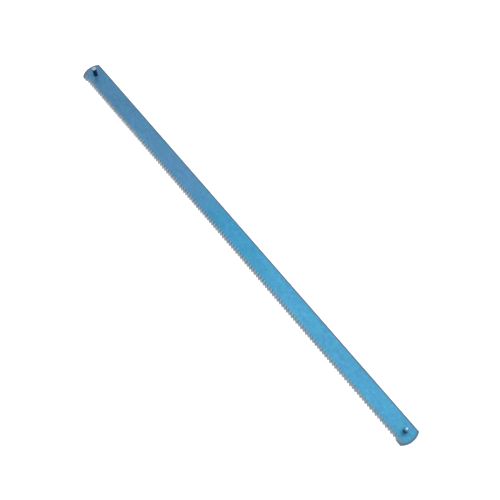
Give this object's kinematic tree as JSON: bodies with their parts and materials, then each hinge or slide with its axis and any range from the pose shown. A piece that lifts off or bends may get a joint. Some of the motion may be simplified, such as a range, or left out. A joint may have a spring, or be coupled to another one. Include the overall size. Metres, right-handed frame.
{
  "type": "junior hacksaw blade",
  "caption": "Narrow blue hacksaw blade with fine alternately set teeth along one edge, rounded ends and a short steel cross pin pressed through each end.",
  "frame": {"origin": "under the middle of the blade, at the height of the pins' lower ends, which the part stands on", "axes": "+X along the blade, the way the teeth point; +Y across it, from the teeth to the smooth back edge; +Z along the pins, up"},
  "size_m": [0.1524, 0.0066, 0.0082],
  "materials": {
    "lacquered_blade_steel": "thin semi-gloss blue lacquer over rolled steel, worn to bare steel along the teeth",
    "pin_steel": "drawn wire, darkened by lacquer on its sides and bright at its cropped ends"
  },
  "bodies": {
    "root": {"blade": "lacquered_blade_steel", "front_pin": "pin_steel", "rear_pin": "pin_steel"}
  },
  "joints": []
}
